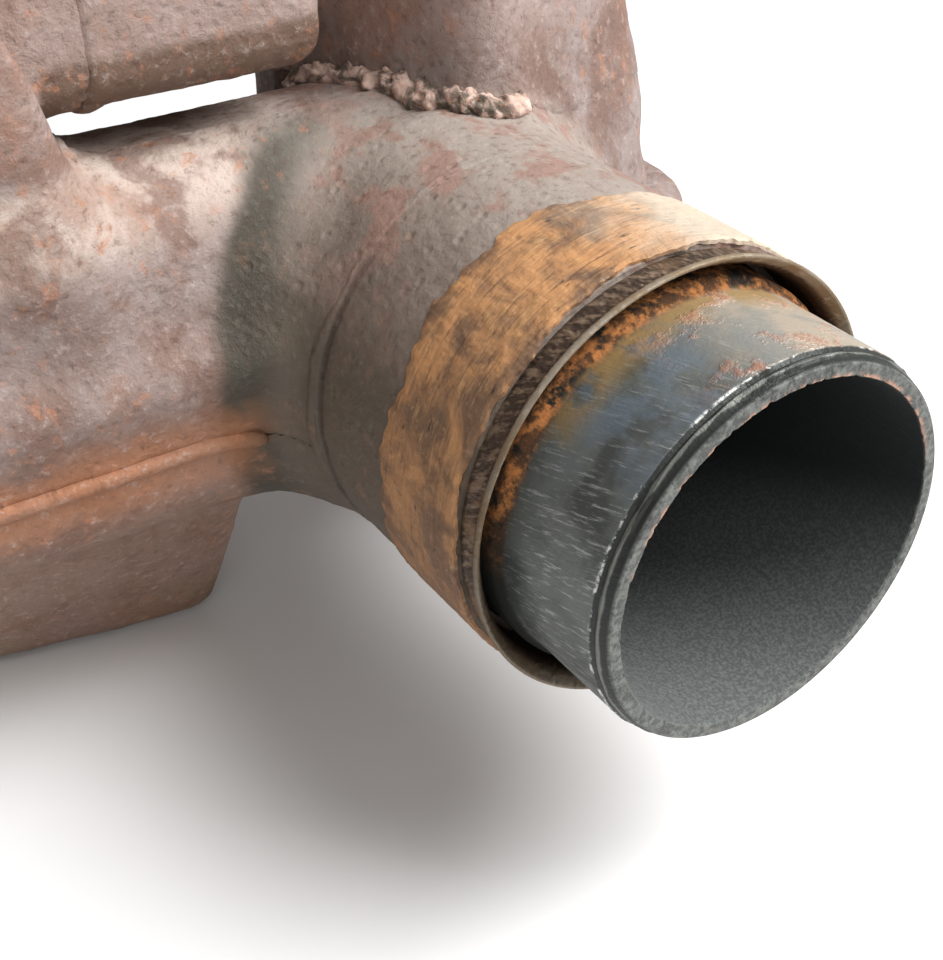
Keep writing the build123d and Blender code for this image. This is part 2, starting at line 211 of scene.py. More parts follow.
def behind_duct(x, z, low_z):
    """Keeps a runner's lower part clear of the space behind the collector."""
    return np.where(z < low_z + 9, REAR_X - x, REAR_X - x - (z - low_z - 9) * 2.5)


def left_field(x, y, z):
    """The left runner: its front one plane with the collector's, its inner side leaning outwards above."""
    sink = smooth_step(27, 5, z)
    low = (PORT_X - 30, left_low[1] + 0.5, -15)
    high = (FRONT_X, left_high[1], left_high[2])
    box = rounded_box(x + 7 * sink, y - 5 * sink * smooth_step(-80, -100, y), z, low, high, 7)
    lean = (y - left_high[1] + 0.52 * (z - 49) + 0.35 * np.minimum(FRONT_X - x, 12)) * 0.84
    box = smooth_max(box, lean, 2.5)
    return smooth_max(box, behind_duct(x, z, left_low[2]), 8)


def middle_field(x, y, z):
    """The middle runner, lying over the roof; its free end is nearly square below."""
    low = (PORT_X - 30, left_low[1] + 15, middle_low[2] - 2)
    high = (middle_high[0], middle_high[1] + 30, middle_high[2])
    return smooth_max(rounded_box(x, y, z, low, high, 6), y - middle_high[1] - 1, 6)


def right_field(x, y, z):
    """The right runner: slanted front, inner side bent towards the neck, its foot sunk in the collector."""
    sink = 7 * smooth_step(25, 6, z)
    front = wall_through(x, y, (right_high[0], 9), (right_high[0] - 18, right_high[1]))
    inner = wall_through(x, y, (REAR_X + 8, -12.5), (right_high[0] + 1, 7))
    sides = smooth_max(front, inner, 10)
    sides = smooth_max(sides, y - right_high[1] - 2 + sink, 12)
    sides = smooth_max(sides, -8 - y, 8)
    block = smooth_max(sides, z - right_high[2], 14)
    block = smooth_max(block, 8 - z, 6)
    return smooth_max(block, behind_duct(x, z, right_low[2]), 8)


FIELDS = {
    "collector": collector_field,
    "left": left_field,
    "middle": middle_field,
    "right": right_field,
}


def all_fields(x, y, z):
    """Every part's field by name, and their blended whole."""
    parts = {name: field(x, y, z) for name, field in FIELDS.items()}
    whole = smooth_min(parts["collector"], parts["left"], 5 + 9 * smooth_step(-78, -58, y))
    whole = smooth_min(whole, parts["right"], 4 + 9 * smooth_step(9, 16, y))
    whole = smooth_min(whole, parts["middle"], 3)
    return parts, whole


def seam_height(y):
    """Height of the seam, which climbs towards the collector's right end."""
    return SEAM_Z + SEAM_CLIMB * smooth_step(18, 52, y)


def own(parts, name, z):
    """Half the lead of one part's field over the nearest other: its share of the whole."""
    share = dict(parts)
    share["left"] = share["left"] + 0.4 * (RUNNER_FOOT - z)
    share["right"] = share["right"] + 0.1 * (RUNNER_FOOT - z)
    mine = share.pop(name)
    nearest = np.minimum.reduce(np.broadcast_arrays(*share.values()))
    return (mine - nearest) / 2


def skin(x, y, z):
    """Fields, whole, and the hollow shell of the housing, open at the ports and the neck."""
    parts, whole = all_fields(x, y, z)
    hollow = np.minimum(whole + WALL, np.where(x > REAR_X + 12, np.hypot(y, z) - NECK_BORE, FAR))
    shell = np.maximum(whole, -hollow)
    shell = np.maximum(shell, PORT_X - x)
    return parts, whole, np.maximum(shell, x - COLLAR_X)


def ripple(x, y, z, size):
    """Smooth bumps from crossed waves, about -1 to 1, of a given size in millimetres."""
    k = 2 * math.pi / size
    first = np.sin(k * x + 1.7 * np.sin(0.61 * k * y + 0.3))
    first = first * np.sin(k * y * 0.93 + 1.3 * np.sin(0.71 * k * z))
    second = np.sin(k * z * 1.09 + 1.9 * np.sin(0.53 * k * x + 1.1))
    return 0.6 * first + 0.4 * second


def bead(distance, edge, radius):
    """A round bead about the line where both fields are zero."""
    return np.sqrt(distance ** 2 + edge ** 2) - radius


def housing_piece(name):
    """The field of one housing piece, by CAD node name. The collector's shells reach a little under
    their neighbours, so that no groove shows where the pieces part."""

    def field(x, y, z):
        parts, whole, shell = skin(x, y, z)
        seam = z - seam_height(y)
        if name in ("upper_shell", "lower_shell"):
            share = own(parts, "collector", z)
            tucked = np.maximum(shell + 0.14 * smooth_step(-1.2, 0.1, share), share - TUCK)
            return np.maximum(tucked, -seam if name == "upper_shell" else seam)
        return np.maximum(shell, own(parts, name.removesuffix("_runner"), z))

    return field


def seam_bead(x, y, z):
    """The rim along the seam: a slim ledge in front, swelling to a thick knob at the right end."""
    _, whole = all_fields(x, y, z)
    swell = smooth_step(36, 52, y)
    radius = 1.6 + 4.0 * swell
    rise = z - seam_height(y) + 0.6
    flat = np.maximum(np.abs(whole + (0.6 - 0.25 * swell) * radius) - 0.4 * radius, 0)
    ridge = np.hypot(flat, rise) - radius
    ridge = smooth_max(ridge, x - COLLAR_X + 1.5, 1)
    around_neck = smooth_step(FRONT_X - 10, FRONT_X - 22, x)
    ridge = smooth_max(ridge, 38.5 - np.hypot(y, z) - 40 * around_neck, 3)
    ridge = smooth_max(ridge, SEAM_REAR - x, 1.5)
    return smooth_max(ridge, y - flange_high[1] + ROUGHNESS_ROOM, 1.5)


def crusty_bead(x, y, z):
    """The lumpy weld where the right runner's inner side meets the neck and the roof."""
    parts, whole = all_fields(x, y, z)
    lumps = 0.5 * ripple(x, y, z, 6.3) + 0.4 * ripple(y, z, x, 3.7) + 0.3 * ripple(z, x, y, 2.1)
    fade = smooth_step(-47, -62, x)
    gap = (parts["collector"] - parts["right"]) / 2 + 0.4 * ripple(x, y, z, 11)
    line = bead(whole + 0.2, gap, 0.5 + 0.75 * fade) - 0.7 * lumps * fade
    line = np.maximum(line, between(x, *CRUST_X))
    line = np.maximum(line, between(y, *CRUST_Y))
    return np.maximum(line, z - CRUST_TOP)


def smooth_bead(one, other, radius, low, high):
    """A low bead between two named parts, kept within a box."""

    def field(x, y, z):
        parts, whole = all_fields(x, y, z)
        gap = (parts[one] - parts[other]) / 2
        line = bead(whole + 0.5, gap, radius + 0.25 * ripple(x, y, z, 5.0))
        for value, lo, hi in zip((x, y, z), low, high):
            line = np.maximum(line, between(value, lo, hi))
        return line

    return field


def port_bead(name):
    """The fillet bead round one runner, on the flange's front face."""

    def field(x, y, z):
        parts, whole = all_fields(x, y, z)
        scallop = 0.35 * ripple(x * 0.2, y, z, 5.2)
        line = bead(whole - 0.2, x - PORT_X - 0.2, 2.6 + scallop)
        line = np.maximum(line, PORT_X + 0.02 - x)
        return np.maximum(line, own(parts, name, z))

    return field


# ------------------------------------------------------------------ surfaces from fields


def surface(field, low, high, step):
    """Vertices and quads of a field's zero surface, by surface nets, then pulled onto the field
    by two Newton steps."""
    axes = [np.arange(lo, hi + step, step) for lo, hi in zip(low, high)]
    x, y, z = np.meshgrid(*axes, indexing="ij", sparse=True)
    values = field(x, y, z)
    values = np.broadcast_to(values, [len(a) for a in axes])
    shape = np.array(values.shape)
    cells = shape - 1
    total = int(np.prod(cells))
    sums = np.zeros((total, 3))
    counts = np.zeros(total)
    quads = []
    inside = values < 0
    for axis in range(3):
        near = [slice(None)] * 3
        far = [slice(None)] * 3
        near[axis] = slice(0, -1)
        far[axis] = slice(1, None)
        crossing = inside[tuple(near)] != inside[tuple(far)]
        index = np.argwhere(crossing)
        others = [a for a in range(3) if a != axis]
        keep = np.ones(len(index), bool)
        for a in others:
            keep &= (index[:, a] > 0) & (index[:, a] < shape[a] - 1)
        index = index[keep]
        start = values[tuple(index.T)]
        ahead = index.copy()
        ahead[:, axis] += 1
        end = values[tuple(ahead.T)]
        point = index.astype(float)
        point[:, axis] += start / (start - end)
        ring = []
        for da, db in ((0, 0), (-1, 0), (-1, -1), (0, -1)):
            cell = index.copy()
            cell[:, others[0]] += da
            cell[:, others[1]] += db
            flat = (cell[:, 0] * cells[1] + cell[:, 1]) * cells[2] + cell[:, 2]
            ring.append(flat)
            for column in range(3):
                sums[:, column] += np.bincount(flat, point[:, column], total)
            counts += np.bincount(flat, minlength=total)
        face = np.stack(ring, 1)
        outward = start < 0
        if axis == 1:
            outward = ~outward
        face[outward] = face[outward][:, ::-1]
        quads.append(face)
    used = counts > 0
    number = np.cumsum(used) - 1
    points = sums[used] / counts[used][:, None] * step + np.array(low)
    faces = number[np.concatenate(quads)]
    nudge = 0.02
    for _ in range(2):
        here = field(*points.T)
        slope = np.stack([field(*(points + nudge * np.eye(3)[a]).T) - here for a in range(3)], 1) / nudge
        size = np.maximum((slope ** 2).sum(1), 0.3)
        move = -(here / size)[:, None] * slope
        length = np.linalg.norm(move, axis=1, keepdims=True)
        points = points + move * np.minimum(1, 0.6 * step / np.maximum(length, 1e-9))
    return points, faces


def mesh_object(name, points, faces, material, smooth_angle=48):
    """A mesh object from points in millimetres, smooth shaded but for its sharp edges."""
    mesh = bpy.data.meshes.new(name)
    mesh.vertices.add(len(points))
    mesh.vertices.foreach_set("co", (np.asarray(points) * MM).ravel())
    faces = np.asarray(faces)
    sides = faces.shape[1]
    mesh.loops.add(faces.size)
    mesh.loops.foreach_set("vertex_index", faces.ravel())
    mesh.polygons.add(len(faces))
    mesh.polygons.foreach_set("loop_start", np.arange(0, faces.size, sides))
    mesh.polygons.foreach_set("loop_total", np.full(len(faces), sides))
    mesh.polygons.foreach_set("use_smooth", np.ones(len(faces), bool))
    mesh.update(calc_edges=True)
    mesh.validate()
    mesh.set_sharp_from_angle(angle=math.radians(smooth_angle))
    mesh.materials.append(material)
    obj = bpy.data.objects.new(name, mesh)
    bpy.context.scene.collection.objects.link(obj)
    return obj


def turned(name, profile, material, segments=360, wobble=None, smooth_angle=40):
    """A turned ring from a closed (x, radius) outline; wobble(x, r, angle) moves points by (dx, dr)."""
    profile = np.array(profile, float)
    count = len(profile)
    angle = np.linspace(0, 2 * math.pi, segments, endpoint=False)
    x = np.repeat(profile[None, :, 0], segments, 0)
    r = np.repeat(profile[None, :, 1], segments, 0)
    a = np.repeat(angle[:, None], count, 1)
    if wobble:
        dx, dr = wobble(x, r, a)
        x = x + dx
        r = r + dr
    points = np.stack([x, r * np.sin(a), r * np.cos(a)], -1).reshape(-1, 3)
    row = np.arange(segments)
    col = np.arange(count)
    i, j = np.meshgrid(row, col, indexing="ij")
    i2 = (i + 1) % segments
    j2 = (j + 1) % count
    faces = np.stack([i * count + j, i2 * count + j, i2 * count + j2, i * count + j2], -1).reshape(-1, 4)
    area = 0.0
    for (x0, r0), (x1, r1) in zip(profile, np.roll(profile, -1, 0)):
        area += x0 * r1 - x1 * r0
    if area > 0:
        faces = faces[:, ::-1]
    return mesh_object(name, points, faces, material, smooth_angle)


def outline(*corners, step=0.8):
    """A closed outline through corners, divided so that no part is longer than step."""
    points = []
    for start, end in zip(corners, corners[1:] + corners[:1]):
        length = math.dist(start, end)
        pieces = max(1, round(length / step))
        for n in range(pieces):
            t = n / pieces
            points.append((start[0] + (end[0] - start[0]) * t, start[1] + (end[1] - start[1]) * t))
    return points


def wave(angle, *terms):
    """A sum of sines round a circle from (amplitude, count, phase) terms."""
    total = 0
    for amplitude, count, phase in terms:
        total = total + amplitude * np.sin(count * angle + phase)
    return total


# ------------------------------------------------------------------ materials


def srgb(red, green, blue):
    """A display colour (0 to 255) as linear light."""
    values = []
    for v in (red, green, blue):
        c = v / 255
        values.append(c / 12.92 if c <= 0.04045 else ((c + 0.055) / 1.055) ** 2.4)
    return (*values, 1)


class Surface:
    """A material's nodes, with short calls for the ones used here."""

    def __init__(self, name, roughness=0.7, metallic=0.0):
        self.material = bpy.data.materials.new(name)
        self.material.use_nodes = True
        self.tree = self.material.node_tree
        self.shader = self.tree.nodes["Principled BSDF"]
        self.shader.inputs["Roughness"].default_value = roughness
        self.shader.inputs["Metallic"].default_value = metallic
        coordinates = self.node("ShaderNodeTexCoord")
        self.place = coordinates.outputs["Object"]
        split = self.node("ShaderNodeSeparateXYZ")
        self.link(self.place, split.inputs[0])
        self.x, self.y, self.z = split.outputs
        squares = self.math("ADD", self.math("POWER", self.y, 2), self.math("POWER", self.z, 2))
        self.radius = self.math("SQRT", squares)

    def node(self, kind):
        return self.tree.nodes.new(kind)

    def link(self, source, target):
        if hasattr(source, "node"):
            self.tree.links.new(source, target)
        else:
            target.default_value = source

    def math(self, operation, a, b=0.0, clamp=False):
        node = self.node("ShaderNodeMath")
        node.operation = operation
        node.use_clamp = clamp
        self.link(a, node.inputs[0])
        self.link(b, node.inputs[1])
        return node.outputs[0]

    def step(self, value, low, high):
        """0 at low, 1 at high, eased between."""
        node = self.node("ShaderNodeMapRange")
        node.interpolation_type = "SMOOTHSTEP"
        self.link(value, node.inputs["Value"])
        node.inputs["From Min"].default_value = low
        node.inputs["From Max"].default_value = high
        return node.outputs["Result"]

    def stretch(self, scale, shift=(0, 0, 0), twist=0.0):
        """Object coordinates scaled, moved, and twisted about X by so many radians a metre."""
        vector = self.place
        if twist:
            rotate = self.node("ShaderNodeVectorRotate")
            rotate.rotation_type = "X_AXIS"
            self.link(vector, rotate.inputs["Vector"])
            self.link(self.math("MULTIPLY", self.x, twist), rotate.inputs["Angle"])
            vector = rotate.outputs[0]
        node = self.node("ShaderNodeMapping")
        self.link(vector, node.inputs["Vector"])
        node.inputs["Scale"].default_value = scale
        node.inputs["Location"].default_value = shift
        return node.outputs[0]

    def noise(self, scale, detail=4.0, rough=0.6, vector=None, warp=0.0):
        node = self.node("ShaderNodeTexNoise")
        self.link(vector or self.place, node.inputs["Vector"])
        node.inputs["Scale"].default_value = scale
        node.inputs["Detail"].default_value = detail
        node.inputs["Roughness"].default_value = rough
        node.inputs["Distortion"].default_value = warp
        return node.outputs["Fac"]

    def cells(self, scale):
        node = self.node("ShaderNodeTexVoronoi")
        self.link(self.place, node.inputs["Vector"])
        node.inputs["Scale"].default_value = scale
        return node.outputs["Distance"]

    def mix(self, amount, a, b):
        node = self.node("ShaderNodeMix")
        node.data_type = "RGBA"
        self.link(amount, node.inputs["Factor"])
        self.link(a, node.inputs[6])
        self.link(b, node.inputs[7])
        return node.outputs[2]

    def both(self, a, b):
        return self.math("MULTIPLY", a, b)

    def colour(self, source):
        self.link(source, self.shader.inputs["Base Color"])

    def roughness(self, source):
        self.link(source, self.shader.inputs["Roughness"])

    def metal(self, source):
        self.link(source, self.shader.inputs["Metallic"])

    def bump(self, *layers):
        """Relief from (height, depth in millimetres) layers."""
        normal = None
        for height, depth in layers:
            node = self.node("ShaderNodeBump")
            node.inputs["Strength"].default_value = 1.0
            node.inputs["Distance"].default_value = depth * MM
            self.link(height, node.inputs["Height"])
            if normal:
                self.link(normal, node.inputs["Normal"])
            normal = node.outputs["Normal"]
        self.link(normal, self.shader.inputs["Normal"])


def body_rust(name):
    """Fine mauve-brown rust with orange freckles; the neck and its root are darker, heat-stained, with
    painted shade on their side away from the light and in the crease at the neck's root, painted shade under
    the middle runner's free end and a painted highlight along the roof.
    """
    s = Surface(name)
    broad = s.noise(22, 3, 0.55)
    patch = s.noise(75, 5, 0.62, warp=0.4)
    grain = s.noise(560, 6, 0.72)
    fleck = s.noise(290, 4, 0.65, s.stretch((1, 1, 1), (3.1, 1.7, 0.4)))
    speck = s.noise(900, 3, 0.7)
    colour = s.mix(s.step(broad, 0.36, 0.64), srgb(136, 116, 108), srgb(120, 99, 90))
    colour = s.mix(s.step(patch, 0.44, 0.68), colour, srgb(146, 131, 126))
    low = s.step(s.z, -0.004, -0.022)
    colour = s.mix(s.both(low, 0.75), colour, srgb(132, 100, 82))
    foot = s.both(s.step(s.z, -0.035, -0.06), s.step(broad, 0.4, 0.55))
    colour = s.mix(s.both(foot, 0.6), colour, srgb(138, 118, 90))
    # Painted highlight: a pale band along the left part of the roof's rounded top.
    roof = s.both(s.step(s.z, 0.022, 0.033), s.step(s.z, 0.042, 0.037))
    colour = s.mix(s.both(s.both(roof, s.step(s.y, -0.014, -0.024)), 0.8), colour, srgb(206, 188, 176))
    colour = s.mix(s.both(s.step(patch, 0.5, 0.36), 0.7), colour, srgb(112, 82, 69))
    lobe = s.step(s.z, 0.038, 0.052)
    colour = s.mix(s.both(lobe, 0.7), colour, srgb(164, 142, 133))
    brown = s.both(s.step(s.noise(34, 5, 0.62, s.stretch((1, 1, 1), (0.9, 2.2, 1.4)), 0.5), 0.52, 0.64), 0.55)
    colour = s.mix(brown, colour, srgb(136, 97, 77))
    # Painted shade: the neck and the valley at its root take colours by how far each surface faces the upper
    # right light, plus noise, and go darker away from it.
    faces_light = s.math("DIVIDE", s.math("ADD", s.both(s.y, 0.55), s.both(s.z, 0.83)), s.radius)
    faces_light_noisy = s.math("ADD", faces_light, s.both(s.math("SUBTRACT", s.noise(70, 4, 0.6), 0.5), 0.7))
    # Painted shade: the valley at the neck's root is dark greenish on its side away from the light.
    root_shaded_colour = s.mix(s.step(faces_light_noisy, 0.1, 0.75), srgb(64, 58, 47), srgb(116, 112, 103))
    root = s.both(s.step(s.radius, 0.052, 0.0405), s.step(s.x, -0.092, -0.060))
    root = s.both(root, s.step(s.y, 0.016, -0.008))
    uneven = s.math("ADD", root, s.both(s.math("SUBTRACT", s.noise(60, 4, 0.6), 0.5), 0.45))
    colour = s.mix(s.step(uneven, 0.3, 0.8), colour, root_shaded_colour)
    # Painted shade: the neck barrel runs from dark on its lower left to pale on its top, over its own darker
    # rust.
    barrel_shaded_colour = s.mix(s.step(faces_light_noisy, -0.35, 0.35), srgb(88, 78, 66), srgb(124, 110, 100))
    barrel_shaded_colour = s.mix(s.step(faces_light_noisy, 0.3, 0.85), barrel_shaded_colour, srgb(148, 136, 127))
    blotch = s.both(s.step(s.noise(95, 4, 0.6), 0.5, 0.6), s.step(faces_light_noisy, -0.2, 0.4))
    barrel_shaded_colour = s.mix(s.both(blotch, 0.75), barrel_shaded_colour, srgb(140, 106, 94))
    barrel = s.both(s.step(s.radius, 0.041, 0.0358), s.step(s.x, -0.092, -0.060))
    colour = s.mix(s.both(barrel, 0.95), colour, barrel_shaded_colour)
    # Painted shade: a thin dark line in the crease at the neck's root, on the side away from the light.
    crease = s.math("ABSOLUTE", s.math("SUBTRACT", s.x, (COLLAR_X + 1.2) * MM))
    crease_shade = s.both(s.step(crease, 0.0011, 0.0003), s.step(faces_light_noisy, 0.35, -0.1))
    colour = s.mix(s.both(s.both(crease_shade, barrel), 0.65), colour, srgb(44, 30, 24))
    # Painted shade: dark brown under the middle runner's free end, with ragged edges.
    under = s.both(s.step(s.z, 0.057, 0.0475), s.step(s.z, 0.040, 0.043))
    under = s.both(under, s.both(s.step(s.y, -0.063, -0.059), s.step(s.y, -0.008, -0.014)))
    ragged = s.math("ADD", under, s.both(s.math("SUBTRACT", patch, 0.5), 0.5))
    colour = s.mix(s.both(s.step(ragged, 0.35, 0.75), 0.85), colour, srgb(92, 66, 48))
    seam = s.math("ABSOLUTE", s.math("ADD", s.z, 0.008))
    warm = s.both(s.step(seam, 0.012, 0.002), s.step(s.noise(48, 4, 0.6), 0.47, 0.58))
    colour = s.mix(s.both(s.both(warm, s.step(s.y, -0.034, -0.044)), 0.6), colour, srgb(172, 112, 72))
    orange = s.both(s.step(fleck, 0.55, 0.70), s.step(broad, 0.33, 0.58))
    colour = s.mix(s.both(orange, s.math("SUBTRACT", 0.6, s.both(barrel, 0.4))), colour, srgb(178, 120, 88))
    pale = s.both(s.step(grain, 0.53, 0.70), s.math("SUBTRACT", 0.45, s.both(s.step(uneven, 0.2, 0.7), 0.33)))
    colour = s.mix(pale, colour, srgb(184, 169, 163))
    colour = s.mix(s.both(s.step(grain, 0.47, 0.32), 0.5), colour, srgb(86, 64, 54))
    s.colour(colour)
    s.roughness(s.math("ADD", s.both(grain, 0.3), 0.5))
    pits = s.cells(330)
    rough_part = s.math("SUBTRACT", 1.0, s.both(barrel, 0.6))
    s.bump(
        (s.both(s.noise(130, 3, 0.5), rough_part), 0.9), (s.both(grain, rough_part), 0.6),
        (s.step(pits, 0.0, 0.35), 0.2), (speck, 0.15),
    )
    return s.material


def sleeve_rust(name):
    """Orange heat rust over a thin band: golden crests, dark torn pits and circumferential streaks, with
    painted shade on its lower half and a painted highlight on its top right.
    """
    s = Surface(name, 0.62)
    around = s.stretch((1100, 130, 130))
    streak = s.noise(1, 5, 0.62, around, 0.6)
    patch = s.noise(120, 5, 0.6, warp=0.5)
    fine = s.noise(700, 5, 0.7)
    pits = s.noise(1, 4, 0.6, s.stretch((900, 240, 240), (2.0, 0.3, 5.0)))
    colour = s.mix(s.step(patch, 0.38, 0.62), srgb(114, 86, 64), srgb(184, 134, 88))
    colour = s.mix(s.both(s.step(streak, 0.57, 0.72), 0.7), colour, srgb(182, 146, 98))
    colour = s.mix(s.both(s.step(streak, 0.46, 0.3), 0.7), colour, srgb(92, 66, 50))
    colour = s.mix(s.both(s.step(fine, 0.56, 0.74), 0.45), colour, srgb(214, 180, 128))
    colour = s.mix(s.step(pits, 0.36, 0.28), colour, srgb(44, 33, 26))
    # Painted shade: the band's lower half is darker.
    dull = s.both(s.step(s.z, 0.02, -0.02), 0.6)
    colour = s.mix(dull, colour, srgb(112, 84, 64))
    # Painted highlight: the band's top right is pale, with ragged edges.
    top_right_highlight = s.both(s.step(s.z, 0.010, 0.030), s.step(s.y, -0.014, 0.02))
    ragged_highlight = s.math("ADD", top_right_highlight, s.both(s.math("SUBTRACT", s.noise(90, 4, 0.6), 0.5), 0.8))
    colour = s.mix(s.both(s.step(ragged_highlight, 0.1, 0.8), 0.85), colour, srgb(198, 184, 166))
    s.colour(colour)
    s.metal(s.both(s.step(fine, 0.6, 0.72), 0.55))
    s.roughness(s.math("SUBTRACT", 0.74, s.both(s.step(fine, 0.52, 0.7), 0.38)))
    s.bump((patch, 0.5), (streak, 0.35), (fine, 0.2))
    return s.material


def lip_metal(name):
    """Thin grey-beige sheet, rust-stained, its outer flank scaled dark, with painted shade on its lower left
    side and on its inner face.
    """
    s = Surface(name, 0.45, 0.35)
    fine = s.noise(600, 5, 0.65)
    patch = s.noise(90, 4, 0.6)
    colour = s.mix(s.step(patch, 0.4, 0.62), srgb(150, 138, 122), srgb(134, 112, 84))
    colour = s.mix(s.both(s.step(fine, 0.55, 0.7), 0.6), colour, srgb(190, 176, 158))
    # Painted shade: the lip is darker on its lower left, away from the light.
    lower_left_shade = s.step(s.math("ADD", s.both(s.y, 0.55), s.both(s.z, 0.83)), 0.012, -0.02)
    colour = s.mix(s.both(lower_left_shade, 0.65), colour, srgb(88, 74, 58))
    flank = s.step(s.x, -0.0009, -0.0018)
    hatch = s.noise(1, 3, 0.6, s.stretch((420, 900, 900), twist=18.0))
    scale_colour = s.mix(s.step(hatch, 0.44, 0.64), srgb(62, 48, 38), srgb(120, 100, 82))
    scale_colour = s.mix(s.step(patch, 0.46, 0.6), scale_colour, srgb(116, 90, 66))
    colour = s.mix(flank, colour, scale_colour)
    # Painted shade: the lip's inner face, inside the recess, is dark brown.
    inner = s.both(s.step(s.radius, 0.0338, 0.0330), s.step(s.x, -0.0004, -0.0016))
    colour = s.mix(inner, colour, srgb(58, 40, 26))
    s.colour(colour)
    s.roughness(s.math("ADD", s.both(fine, 0.3), 0.35))
    s.bump((s.noise(150, 3, 0.5), 0.2), (hatch, 0.22), (fine, 0.1))
    return s.material


def spigot_steel(name):
    """Heat-darkened steel: pale scratches along it, straw and blue temper, pink rust and a sooted bore;
    painted shade darkens the bore's top and depth and the shoulder in the recess, and painted highlights
    brighten its top right and, with wear, the mouth's outer edge.
    """
    s = Surface(name, 0.42, 0.6)
    twist = 9.0
    fine_lines = s.noise(1, 3, 0.7, s.stretch((260, 2300, 2300), twist=twist))
    long_lines = s.noise(1, 4, 0.65, s.stretch((110, 700, 700), (0.4, 1.1, 2.0), twist=twist))
    patch = s.noise(85, 5, 0.6, warp=0.4)
    grain = s.noise(900, 4, 0.7)
    base = s.mix(s.step(patch, 0.4, 0.62), srgb(78, 82, 79), srgb(110, 114, 110))
    scratched = s.both(s.step(fine_lines, 0.5, 0.66), s.step(long_lines, 0.42, 0.6))
    base = s.mix(s.both(scratched, 0.8), base, srgb(176, 180, 180))
    # Painted highlight: the spigot's top right is made pale in these colours.
    pale = s.mix(s.step(patch, 0.42, 0.6), srgb(206, 190, 170), srgb(172, 166, 156))
    crown_highlight = s.both(s.step(s.z, 0.014, 0.026), s.step(s.y, -0.014, 0.004))
    base = s.mix(s.both(crown_highlight, 0.75), base, pale)
    blue = s.both(s.step(s.z, 0.012, 0.024), s.step(s.y, 0.004, -0.014))
    blue = s.both(blue, s.step(s.noise(120, 4, 0.6), 0.42, 0.58))
    base = s.mix(s.both(blue, 0.75), base, srgb(112, 124, 134))
    straw = s.both(s.step(s.x, 0.007, 0.0005), s.step(s.z, 0.012, 0.024))
    straw = s.both(straw, s.step(s.noise(160, 4, 0.6), 0.38, 0.56))
    base = s.mix(s.both(straw, 0.8), base, srgb(176, 142, 86))
    flakes = s.noise(190, 5, 0.68, s.stretch((1, 1, 1), (0.7, 0.2, 0.9)))
    pink = s.both(s.step(flakes, 0.50, 0.68), s.step(s.z, 0.020, 0.029))
    pink = s.both(pink, s.step(s.y, -0.016, -0.004))
    base = s.mix(s.both(pink, 0.8), base, srgb(160, 112, 90))
    # Painted shade with soot: the shoulder inside the recess is near black; orange rust shows only on its
    # upper part.
    shoulder = s.step(s.x, 0.0006, -0.0012)
    rust = s.mix(s.step(s.noise(420, 4, 0.7), 0.42, 0.6), srgb(88, 60, 40), srgb(182, 122, 70))
    rusty = s.both(shoulder, s.step(s.z, -0.006, 0.012))
    base = s.mix(shoulder, base, srgb(34, 34, 30))
    base = s.mix(s.both(rusty, s.step(s.noise(260, 4, 0.7), 0.36, 0.52)), base, rust)
    mouth_x = MOUTH_X * MM
    bevel = s.step(s.x, mouth_x - 0.00295, mouth_x - 0.00265)
    ring_line = s.math("ABSOLUTE", s.math("SUBTRACT", s.x, mouth_x - 0.00165))
    ring_line = s.math("ADD", ring_line, s.both(s.math("SUBTRACT", s.noise(260, 3, 0.5), 0.5), 0.0009))
    base = s.mix(bevel, base, srgb(46, 48, 46))
    base = s.mix(s.both(bevel, s.both(s.step(ring_line, 0.00042, 0.0001), 0.8)), base, srgb(122, 124, 118))
    # Bright metal along the mouth's outer edge, broken by noise: partly wear, partly a painted highlight.
    edge = s.math("ABSOLUTE", s.math("SUBTRACT", s.x, mouth_x - 0.00285))
    worn = s.both(s.step(edge, 0.0003, 0.0001), s.both(s.step(s.noise(480, 4, 0.7), 0.5, 0.6), 0.75))
    base = s.mix(worn, base, srgb(214, 214, 210))
    face = s.both(s.step(s.x, mouth_x - 0.0004, mouth_x - 0.00015), s.step(s.radius, 0.0292, 0.0288))
    soot = s.mix(s.step(grain, 0.38, 0.66), srgb(52, 54, 51), srgb(102, 104, 99))
    base = s.mix(face, base, soot)
    inner_edge = s.both(face, s.step(s.radius, 0.0278, 0.0268))
    flaked = s.both(s.step(s.z, 0.004, 0.016), s.step(s.noise(500, 4, 0.7), 0.44, 0.54))
    base = s.mix(s.both(inner_edge, flaked), base, srgb(186, 138, 112))
    bore = s.step(s.radius, 0.02705, 0.0269)
    ash = s.mix(s.step(s.noise(2000, 3, 0.7), 0.42, 0.62), srgb(78, 81, 80), srgb(102, 105, 103))
    # Painted shade with soot: the bore is near black towards its top and deeper in; grey ash shows at its
    # bottom near the mouth.
    sooted = s.math("ADD", s.z, s.both(s.x, -0.35))
    ash = s.mix(s.step(sooted, -0.004, -0.022), srgb(13, 17, 18), ash)
    base = s.mix(bore, base, ash)
    s.colour(base)
    clean = s.math("SUBTRACT", 1.0, s.math("MAXIMUM", bore, face))
    s.metal(s.both(clean, 0.55))
    dull = s.math("MAXIMUM", bore, s.math("MAXIMUM", pink, shoulder))
    rough = s.math("SUBTRACT", 0.5, s.both(scratched, 0.15))
    s.roughness(s.math("ADD", rough, s.both(dull, 0.4), True))
    s.bump((fine_lines, 0.08), (long_lines, 0.1), (grain, 0.1), (s.both(pink, s.noise(700, 4, 0.7)), 0.4))
    return s.material


